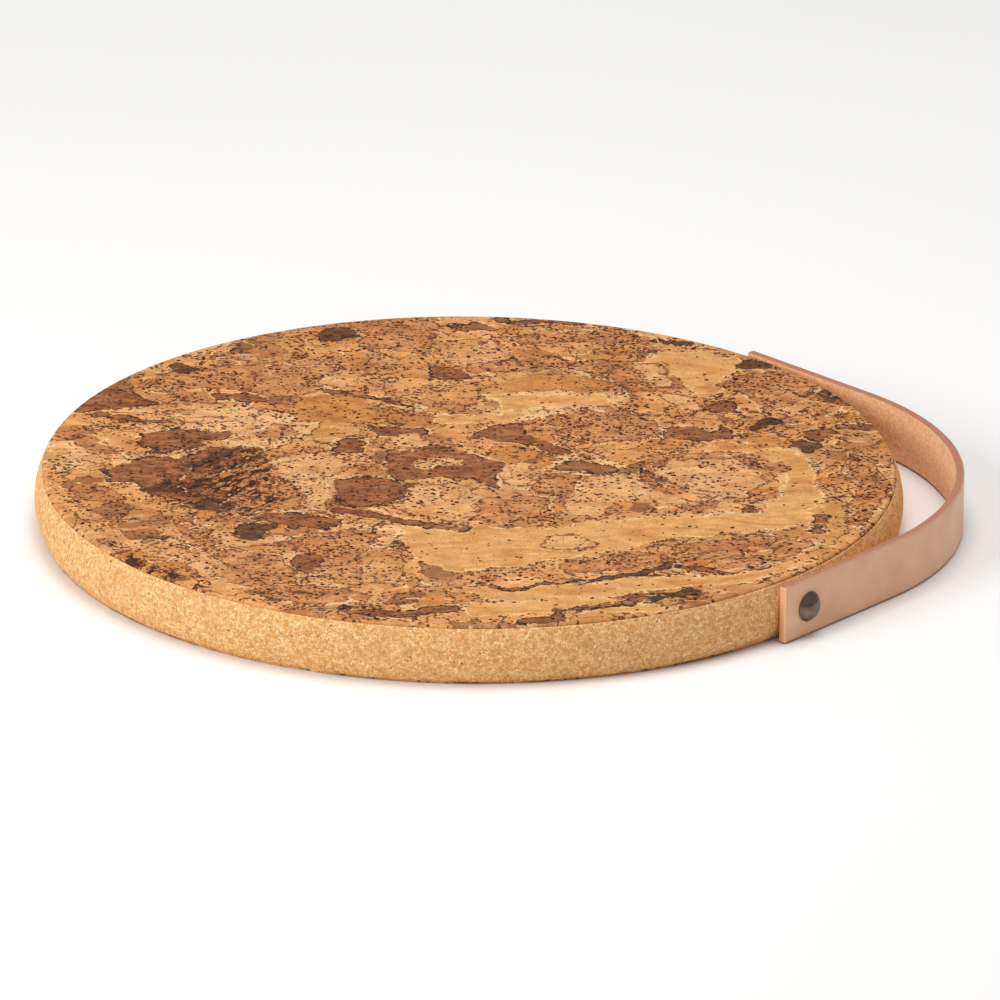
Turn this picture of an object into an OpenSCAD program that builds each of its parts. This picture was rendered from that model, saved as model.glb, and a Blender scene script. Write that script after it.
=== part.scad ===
// Round cork serving board with a leather loop handle.
// The origin is the centre of the underside, +Z is up and +X points to the middle of the handle.
// "front" pieces lie on the -Y side and "rear" pieces on the +Y side.

/* [Board] */
// Diameter of the board at its widest, half way up the edge
board_d = 300; // [220:1:400]
// Thickness of the whole board, with both veneers
board_t = 21; // [18:0.5:30]
// Thickness of the cork-bark veneer on each face
veneer_t = 1; // [0.5:0.1:2]
// How far the rounded edge stands out beyond the rims of the faces
edge_crown = 3.2; // [1.5:0.1:5]

/* [Handle] */
// Width of the leather strap, which stands on its edge
strap_w = 20; // [14:0.5:20]
// Thickness of the leather
strap_t = 3; // [2:0.1:3.5]
// Height of the strap's lower edge above the underside
strap_lift = 0.5; // [0.3:0.1:1]
// Angle from the middle of the handle to each fastener
fix_angle = 43; // [35:1:50]
// Distance from the centre of the board to the outside of the handle, at its middle
reach = 171; // [168:1:180]
// Length of strap that runs on past each fastener
tail = 12; // [9:0.5:16]
// Length of strap held still on the handle's side of each fastener
held = 12; // [10:0.5:16]
// Furthest that the loop lifts or drops
swing = 20; // [5:1:22]

/* [Fasteners] */
// Diameter of the domed cap
cap_d = 10.6; // [9:0.1:12]
// Height of the domed cap
cap_h = 3.4; // [3:0.1:4]
// Diameter of the screw's shank
screw_d = 3.5; // [3:0.1:4]
// Length of the screw under its head
screw_l = 30; // [20:1:35]
// Diameter of the dowel that the screw bites into
dowel_d = 12; // [8:0.5:14]
// Length of the dowel
dowel_l = 40; // [36:1:60]

/* [Hidden] */
$fn = 96;

board_r = board_d / 2;
mid_z = board_t / 2;
edge_r = (mid_z * mid_z + edge_crown * edge_crown) / (2 * edge_crown); // radius of the edge's curve
edge_x = board_r - edge_r; // where that curve is centred

skin = 0.1; // between the edge of the board and the leather
strap_in = board_r + skin; // inner face of the leather at a fastener, from the centre
strap_out = strap_in + strap_t; // outer face of the leather there
strap_z = strap_lift + strap_w / 2; // half way up the strap

arc_x = (reach - strap_out) / (1 - cos(fix_angle)); // where the handle's arc is centred
arc_r = reach - arc_x; // outer radius of that arc
straight = arc_x * sin(fix_angle); // length of strap between a fastener and the arc

// The loop flexes about a line that crosses both straights at the ends of their held lengths.
hinge_x = (strap_in + strap_t / 2) * cos(fix_angle) + held * sin(fix_angle);
hinge_gap = 0.15; // on each side of that line
flank = swing + 2; // slope of the loop's pointed ends, so that they clear at the full swing

cap_lip = 0.5; // height of the cap's straight rim
cap_rise = cap_h - cap_lip;
cap_r = (cap_d * cap_d / 4 + cap_rise * cap_rise) / (2 * cap_rise); // radius of the cap's dome
head_d = 6.4;
head_h = 1.8;
point_l = 5; // length of the screw's point
bolt_slack = 0.05; // around the screw, its head and the dowel
dowel_out = board_r - 1.2; // the dowel ends a little under the curve of the edge
pilot_l = screw_l - strap_t - (strap_in - dowel_out) + 1; // depth of the hole in the dowel

far = 2 * reach; // larger than the object

// Half of the board's outline, between two heights
module edge_profile(z0, z1) {
    intersection() {
        union() {
            square([edge_x, board_t]);
            translate([edge_x, mid_z]) circle(edge_r);
        }
        translate([0, z0]) square([board_r + edge_crown, z1 - z0]);
    }
}

module layer(z0, z1) {
    rotate_extrude($fn = 360) edge_profile(z0, z1);
}

// Places something that points along +Z so that it points out of the board at a fastener
module at_fastener(side, distance) {
    rotate([0, 0, side * fix_angle])
        translate([distance, 0, mid_z])
            rotate([0, 90, 0])
                children();
}

// A hole or rod that lies along a fastener's axis between two distances from the centre
module radial_rod(side, d, from, to) {
    at_fastener(side, from) cylinder(d = d, h = to - from);
}

module cork_core() {
    color("#c89a5e")
        difference() {
            layer(veneer_t, board_t - veneer_t);
            for (side = [-1, 1])
                radial_rod(side, dowel_d + 2 * bolt_slack, dowel_out - dowel_l, board_r + edge_crown);
        }
}

module top_veneer() {
    color("#c08a4e") layer(board_t - veneer_t, board_t);
}

module base_veneer() {
    color("#c08a4e") layer(0, veneer_t);
}

module dowel(side) {
    color("#d9b98a")
        difference() {
            radial_rod(side, dowel_d, dowel_out - dowel_l, dowel_out);
            radial_rod(side, screw_d + 2 * bolt_slack, dowel_out - pilot_l, dowel_out + 1);
        }
}

// A round-headed screw: the head sits on the leather and the shank runs into the dowel
module screw(side) {
    color("#8d8f92")
        at_fastener(side, strap_out)
            rotate_extrude()
                polygon([
                    [0, head_h], [head_d / 2, head_h], [head_d / 2, 0], [screw_d / 2, 0],
                    [screw_d / 2, point_l - screw_l], [0, -screw_l]
                ]);
}

// The domed cap that covers the screw's head
module cap(side) {
    color("#3b332e")
        at_fastener(side, strap_out)
            difference() {
                rotate_extrude()
                    intersection() {
                        translate([0, cap_h - cap_r]) circle(cap_r);
                        square([cap_d / 2, cap_h]);
                    }
                translate([0, 0, -1]) cylinder(d = head_d + 2 * bolt_slack, h = 1 + head_h + bolt_slack);
            }
}

// One straight of the strap in plan, from its end past the fastener to the start of the arc
module straight_plan(side) {
    rotate(side * fix_angle)
        translate([strap_in, side > 0 ? -straight : -tail])
            square([strap_t, straight + tail]);
}

module arc_plan() {
    translate([arc_x, 0])
        intersection() {
            difference() {
                circle(arc_r, $fn = 360);
                circle(arc_r - strap_t, $fn = 360);
            }
            polygon([[0, 0], [far, -far * tan(fix_angle)], [far, far * tan(fix_angle)]]);
        }
}

module strap_height() {
    translate([0, 0, strap_lift]) linear_extrude(strap_w) children();
}

module strap_end(side) {
    color("#c99275")
        difference() {
            strap_height()
                intersection() {
                    straight_plan(side);
                    translate([0, -far]) square([hinge_x - hinge_gap, 2 * far]);
                }
            radial_rod(side, screw_d + 2 * bolt_slack, strap_in - 1, strap_out + 1);
        }
}

// Everything short of the two flanks that meet at the hinge line
module loop_limit() {
    slope = far * tan(flank);
    translate([hinge_x + hinge_gap, far, strap_z])
        rotate([90, 0, 0])
            linear_extrude(2 * far)
                polygon([[0, 0], [slope, far], [-far, far], [-far, -far], [slope, -far]]);
}

module strap_loop() {
    color("#c99275")
        difference() {
            strap_height() {
                arc_plan();
                straight_plan(-1);
                straight_plan(1);
            }
            loop_limit();
        }
}

cork_core();
top_veneer();
base_veneer();
strap_loop();
strap_end(-1);  // front_strap_end
strap_end(1);  // rear_strap_end
dowel(-1);  // front_dowel
dowel(1);  // rear_dowel
screw(-1);  // front_screw
screw(1);  // rear_screw
cap(-1);  // front_cap
cap(1);  // rear_cap
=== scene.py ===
# %% [markdown]
# # A round cork serving board with a leather handle
# The real board is a disc of pressed cork granules with a thin sheet of natural cork bark glued to each
# face. A leather strap stands on its edge beside the rim and is held by two screws under domed caps.
# The CAD model already has every piece in its place. This lesson gives each one the surface it has on a
# kitchen table. Everything is in metres, and sizes are read from the CAD model wherever it has them.

# %% Load the frame
import math

import bmesh
import bpy
import numpy as np
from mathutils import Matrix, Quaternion, Vector, noise


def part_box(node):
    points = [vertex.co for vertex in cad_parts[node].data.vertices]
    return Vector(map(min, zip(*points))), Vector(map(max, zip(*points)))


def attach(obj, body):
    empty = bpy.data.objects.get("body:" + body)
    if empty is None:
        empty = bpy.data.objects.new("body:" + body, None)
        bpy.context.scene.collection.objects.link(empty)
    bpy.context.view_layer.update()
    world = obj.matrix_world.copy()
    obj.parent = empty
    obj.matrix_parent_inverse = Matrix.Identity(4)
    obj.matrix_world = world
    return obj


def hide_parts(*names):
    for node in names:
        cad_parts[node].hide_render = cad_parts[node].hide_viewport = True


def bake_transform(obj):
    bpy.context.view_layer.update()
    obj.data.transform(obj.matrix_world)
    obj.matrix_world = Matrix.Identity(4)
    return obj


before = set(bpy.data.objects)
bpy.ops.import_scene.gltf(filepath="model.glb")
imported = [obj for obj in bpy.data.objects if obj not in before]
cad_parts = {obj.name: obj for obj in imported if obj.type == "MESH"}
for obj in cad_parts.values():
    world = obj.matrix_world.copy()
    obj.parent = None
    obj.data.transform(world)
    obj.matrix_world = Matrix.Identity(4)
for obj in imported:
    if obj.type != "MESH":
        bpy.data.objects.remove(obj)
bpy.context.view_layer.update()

# %% [markdown]
# ## Sizes
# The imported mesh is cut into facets, so its lengths are rounded to the tenth of a millimetre that the
# design uses. What the boxes don't tell, such as the slope of the strap, is named here once.

# %% Sizes of the board, the strap and the fasteners
MM = 0.001
core_low, core_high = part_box("cork_core")
loop_low, loop_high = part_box("strap_loop")
top_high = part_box("top_veneer")[1]

board_r = round(-core_low.x / MM) * MM
board_t = round(top_high.z / MM, 1) * MM
core_z = (round(core_low.z / MM, 1) * MM, round(core_high.z / MM, 1) * MM)
mid_z = board_t / 2
edge_crown = 3.2 * MM
edge_r = (mid_z**2 + edge_crown**2) / (2 * edge_crown)

FIX_ANGLE = math.radians(43)
strap_t = 3 * MM
strap_out = board_r + 0.1 * MM + strap_t
strap_z = (round(loop_low.z / MM, 1) * MM, round(loop_high.z / MM, 1) * MM)
tail = 12 * MM
reach = round(loop_high.x / MM, 1) * MM
arc_x = (reach - strap_out) / (1 - math.cos(FIX_ANGLE))
arc_r = reach - strap_t / 2 - arc_x
straight = arc_x * math.sin(FIX_ANGLE)

cap_r = 5.3 * MM
cap_h = 3.4 * MM
print(f"board {board_r * 2:.3f} across and {board_t:.3f} thick, handle reaches {reach:.3f}")


def edge_radius(z):
    """Radius of the board's rounded edge at a height."""
    return board_r - edge_r + math.sqrt(edge_r**2 - (z - mid_z) ** 2)


# %% [markdown]
# ## Camera
# The view is nearly without perspective, as with a long lens from across the room, and looks down at
# about 22 degrees. A camera far away with a long lens gives that. It aims at the middle of the whole
# object, board and handle together, and is tipped by half a degree.

# %% Camera
CAMERA_DISTANCE = 4.1493
CAMERA_ELEVATION = math.radians(21.576)
CAMERA_TURN = math.radians(-1.708)
CAMERA_TIP = math.radians(0.5227)
CAMERA_AIM = Vector((0.01054, -0.00566, 0.0105))
CAMERA_LENS = 432

camera = bpy.data.objects.new("camera", bpy.data.cameras.new("camera"))
camera.data.lens = CAMERA_LENS
camera.data.sensor_width = 36
across = -CAMERA_DISTANCE * math.cos(CAMERA_ELEVATION)
camera.location = (
    -across * math.sin(CAMERA_TURN),
    across * math.cos(CAMERA_TURN),
    CAMERA_DISTANCE * math.sin(CAMERA_ELEVATION),
)
camera.rotation_mode = "QUATERNION"
look = (CAMERA_AIM - camera.location).to_track_quat("-Z", "Y")
camera.rotation_quaternion = look @ Quaternion((0, 0, 1), CAMERA_TIP)
bpy.context.scene.collection.objects.link(camera)
bpy.context.scene.camera = camera
print("camera at", tuple(round(c, 3) for c in camera.location))

# %% [markdown]
# ## Light and floor
# A product table: a white room all round, one broad soft lamp high on the left and in front, and a
# second one straight above that lights the face. The front of the rim, which turns away to the right,
# falls gently into shade. The standard view transform keeps the colours as they are mixed.

# %% Light and floor
scene = bpy.context.scene
scene.view_settings.view_transform = "Standard"
world = bpy.data.worlds.new("studio")
scene.world = world
world.use_nodes = True
room = world.node_tree.nodes["Background"]
room.inputs["Color"].default_value = (1, 1, 1, 1)
room.inputs["Strength"].default_value = 0.42


def soft_lamp(name, place, size, power):
    """A square lamp that faces the board and that no camera sees."""
    light = bpy.data.lights.new(name, "AREA")
    light.size = size
    light.energy = power
    lamp = bpy.data.objects.new(name, light)
    lamp.location = place
    lamp.rotation_mode = "QUATERNION"
    lamp.rotation_quaternion = (-lamp.location).to_track_quat("-Z", "Y")
    lamp.visible_camera = False
    scene.collection.objects.link(lamp)
    return lamp


soft_lamp("key_lamp", Vector((-1.2, -0.75, 0.8)), 0.8, 15.5)
soft_lamp("top_lamp", Vector((0.1, 0.1, 1.5)), 0.9, 13.5)

# %% [markdown]
# ## Helpers for node trees
# Materials and geometry trees are both graphs of nodes. A small class keeps each recipe readable: every
# method adds a node or two, feeds their inputs with numbers, colours or other nodes' outputs, and hands
# back an output. Colours are written as they look on a screen, such as "d09c62", and turned into linear
# values where they meet a colour socket. Patterns are measured in millimetres, so a noise of size 8 has
# blots of about 8 mm.

# %% Node tree helper


def linear(hex_colour):
    """A colour such as "d09c62", as seen on screen, as the linear values that shaders use."""
    parts = [int(hex_colour[i : i + 2], 16) / 255 for i in (0, 2, 4)]
    return tuple(p / 12.92 if p <= 0.04045 else ((p + 0.055) / 1.055) ** 2.4 for p in parts) + (1,)


class Recipe:
    """Adds nodes to one node tree, so that a recipe reads from top to bottom."""

    def __init__(self, tree):
        self.tree = tree

    def add(self, kind, inputs=(), **settings):
        node = self.tree.nodes.new(kind)
        for key, value in settings.items():
            setattr(node, key, value)
        for key, value in dict(inputs).items():
            self.feed(node.inputs[key], value)
        return node

    def feed(self, socket, value):
        if isinstance(value, bpy.types.NodeSocket):
            self.tree.links.new(value, socket)
        else:
            socket.default_value = linear(value) if socket.type == "RGBA" else value

    def math(self, operation, *values, clamp=False):
        node = self.add("ShaderNodeMath", operation=operation, use_clamp=clamp)
        for socket, value in zip(node.inputs, values):
            self.feed(socket, value)
        return node.outputs[0]

    def times(self, first, second):
        return self.math("MULTIPLY", first, second)

    def vector(self, operation, first, second):
        node = self.add("ShaderNodeVectorMath", operation=operation)
        self.feed(node.inputs[0], first)
        self.feed(node.inputs["Scale" if operation == "SCALE" else 1], second)
        return node.outputs[0]

    def remap(self, value, low, high, to_low=0.0, to_high=1.0):
        node = self.add("ShaderNodeMapRange", clamp=True)
        for key, given in enumerate((value, low, high, to_low, to_high)):
            self.feed(node.inputs[key], given)
        return node.outputs[0]

    def mix(self, share, under, over, how="MIX"):
        node = self.add("ShaderNodeMix", data_type="RGBA", blend_type=how)
        for key, given in ((0, share), (6, under), (7, over)):
            self.feed(node.inputs[key], given)
        return node.outputs[2]

    def shaded(self, colour, shade):
        """A colour made darker or lighter by one number."""
        grey = self.add("ShaderNodeCombineColor", {0: shade, 1: shade, 2: shade}).outputs[0]
        return self.mix(1, colour, grey, "MULTIPLY")

    def noise(self, place, size, detail=3, output="Fac"):
        inputs = {"Vector": place, "Scale": 1 / size, "Detail": detail}
        return self.add("ShaderNodeTexNoise", inputs).outputs[output]

    def cells(self, place, size, feature="F1", flat=False):
        settings = {"feature": feature, "voronoi_dimensions": "2D" if flat else "3D"}
        return self.add("ShaderNodeTexVoronoi", {"Vector": place, "Scale": 1 / size}, **settings)

    def ramp(self, value, stops, steps=False):
        node = self.add("ShaderNodeValToRGB", {"Fac": value})
        node.color_ramp.interpolation = "CONSTANT" if steps else "LINEAR"
        elements = node.color_ramp.elements
        while len(elements) < len(stops):
            elements.new(1)
        for element, (position, colour) in zip(elements, stops):
            element.position = position
            element.color = linear(colour)
        return node.outputs["Color"]

    def attribute(self, name, output="Fac"):
        return self.add("ShaderNodeAttribute", attribute_name=name).outputs[output]

    def millimetres(self):
        """The place on the piece itself, in millimetres."""
        place = self.add("ShaderNodeTexCoord").outputs["Object"]
        return self.vector("SCALE", place, 1 / MM)

    def shift(self, place, size, reach):
        """A place pushed about by noise, so that straight outlines become ragged."""
        push = self.vector("SUBTRACT", self.noise(place, size, output="Color"), (0.5, 0.5, 0.5))
        return self.vector("ADD", place, self.vector("SCALE", push, reach * 2))


def new_group(name, inputs, outputs):
    """A shader node group: its recipe, the outputs of its input node and its output node."""
    group = bpy.data.node_groups.new(name, "ShaderNodeTree")
    for key, (kind, value) in inputs.items():
        socket = group.interface.new_socket(key, in_out="INPUT", socket_type=kind)
        if value is not None:
            socket.default_value = value
    for key, kind in outputs.items():
        group.interface.new_socket(key, in_out="OUTPUT", socket_type=kind)
    recipe = Recipe(group)
    return group, recipe, recipe.add("NodeGroupInput").outputs, recipe.add("NodeGroupOutput")


def use_group(recipe, group, inputs):
    """Puts a group in a material with its own values, and hands back its outputs."""
    node = recipe.add("ShaderNodeGroup", node_tree=group)
    for key, value in inputs.items():
        recipe.feed(node.inputs[key], value)
    return node.outputs


def finish_material(recipe, material, colour, roughness, height=None, bump=0.2, depth=0.1, **sockets):
    """Ends a material in one Principled shader. A number that is the same all over is set on its socket."""
    shader = recipe.add("ShaderNodeBsdfPrincipled")
    recipe.feed(shader.inputs["Base Color"], colour)
    recipe.feed(shader.inputs["Roughness"], roughness)
    for key, value in sockets.items():
        recipe.feed(shader.inputs[key.replace("_", " ")], value)
    if height is not None:
        relief = recipe.add("ShaderNodeBump", {"Strength": bump, "Distance": depth * MM, "Height": height})
        recipe.feed(shader.inputs["Normal"], relief.outputs[0])
    out = recipe.add("ShaderNodeOutputMaterial")
    recipe.feed(out.inputs["Surface"], shader.outputs[0])
    print("material", material.name, "with", len(material.node_tree.nodes), "nodes")
    return material


def new_material(name):
    """An empty material and the recipe that fills it."""
    material = bpy.data.materials.new(name)
    material.use_nodes = True
    material.node_tree.nodes.clear()
    return material, Recipe(material.node_tree)


# %% Mesh helpers


def new_piece(name, points, faces, material, smooth=True):
    """A mesh object at the origin, with its place in its points."""
    mesh = bpy.data.meshes.new(name)
    mesh.from_pydata([tuple(map(float, p)) for p in points], [], [tuple(map(int, f)) for f in faces])
    mesh.polygons.foreach_set("use_smooth", [smooth] * len(mesh.polygons))
    mesh.materials.append(material)
    mesh.validate()
    piece = bpy.data.objects.new(name, mesh)
    scene.collection.objects.link(piece)
    print(f"{name}: {len(mesh.vertices)} points, {len(mesh.polygons)} faces")
    return piece


def store(piece, name, values):
    """One number for each point of a piece, for its material or its geometry nodes to read."""
    attribute = piece.data.attributes.new(name, "FLOAT", "POINT")
    attribute.data.foreach_set("value", np.asarray(values, np.float32))


# %% [markdown]
# ## Groups that several materials share
# Cork, wood and leather all have a fine unevenness, and metal and leather have hairline scratches. Each
# is a node group, placed in a material with its own size and strength. The third group turns the
# distance to an outline into a patch with a crisp edge and a thin line along it.

# %% Shared groups
FLOAT = "NodeSocketFloat"
VECTOR = "NodeSocketVector"

grain_group, r, given, out = new_group(
    "fine_grain",
    {"Place": (VECTOR, None), "Size": (FLOAT, 1.0), "Contrast": (FLOAT, 0.2)},
    {"Shade": FLOAT, "Height": FLOAT},
)
scale = r.math("DIVIDE", 1, given["Size"])
speckle = r.add("ShaderNodeTexNoise", {"Vector": given["Place"], "Scale": scale, "Detail": 5}).outputs["Fac"]
darkest = r.math("SUBTRACT", 1, given["Contrast"])
lightest = r.math("ADD", 1, given["Contrast"])
r.feed(out.inputs["Shade"], r.remap(speckle, 0.25, 0.75, darkest, lightest))
r.feed(out.inputs["Height"], speckle)

patch_group, r, given, out = new_group(
    "patch_edge",
    {"Distance": (FLOAT, 0.0), "Jitter": (FLOAT, 0.0), "Line": (FLOAT, 0.4)},
    {"Inside": FLOAT, "Outline": FLOAT},
)
from_edge = r.math("ADD", given["Distance"], given["Jitter"])
r.feed(out.inputs["Inside"], r.remap(from_edge, 0.12, -0.12))
line = r.remap(r.math("ABSOLUTE", from_edge), given["Line"], r.times(given["Line"], 1.6), 1, 0)
r.feed(out.inputs["Outline"], line)

scratch_group, r, given, out = new_group(
    "hairlines",
    {"Place": (VECTOR, None), "Stretch": (VECTOR, (1, 1, 1)), "Amount": (FLOAT, 0.5)},
    {"Scratch": FLOAT},
)
pulled = r.vector("MULTIPLY", given["Place"], given["Stretch"])
hairs = r.noise(r.shift(pulled, 3, 0.6), 0.12, 2)
scratch = r.remap(hairs, 0.62, 0.7)
r.feed(out.inputs["Scratch"], r.times(scratch, given["Amount"]))
print("groups:", [g.name for g in bpy.data.node_groups])
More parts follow.
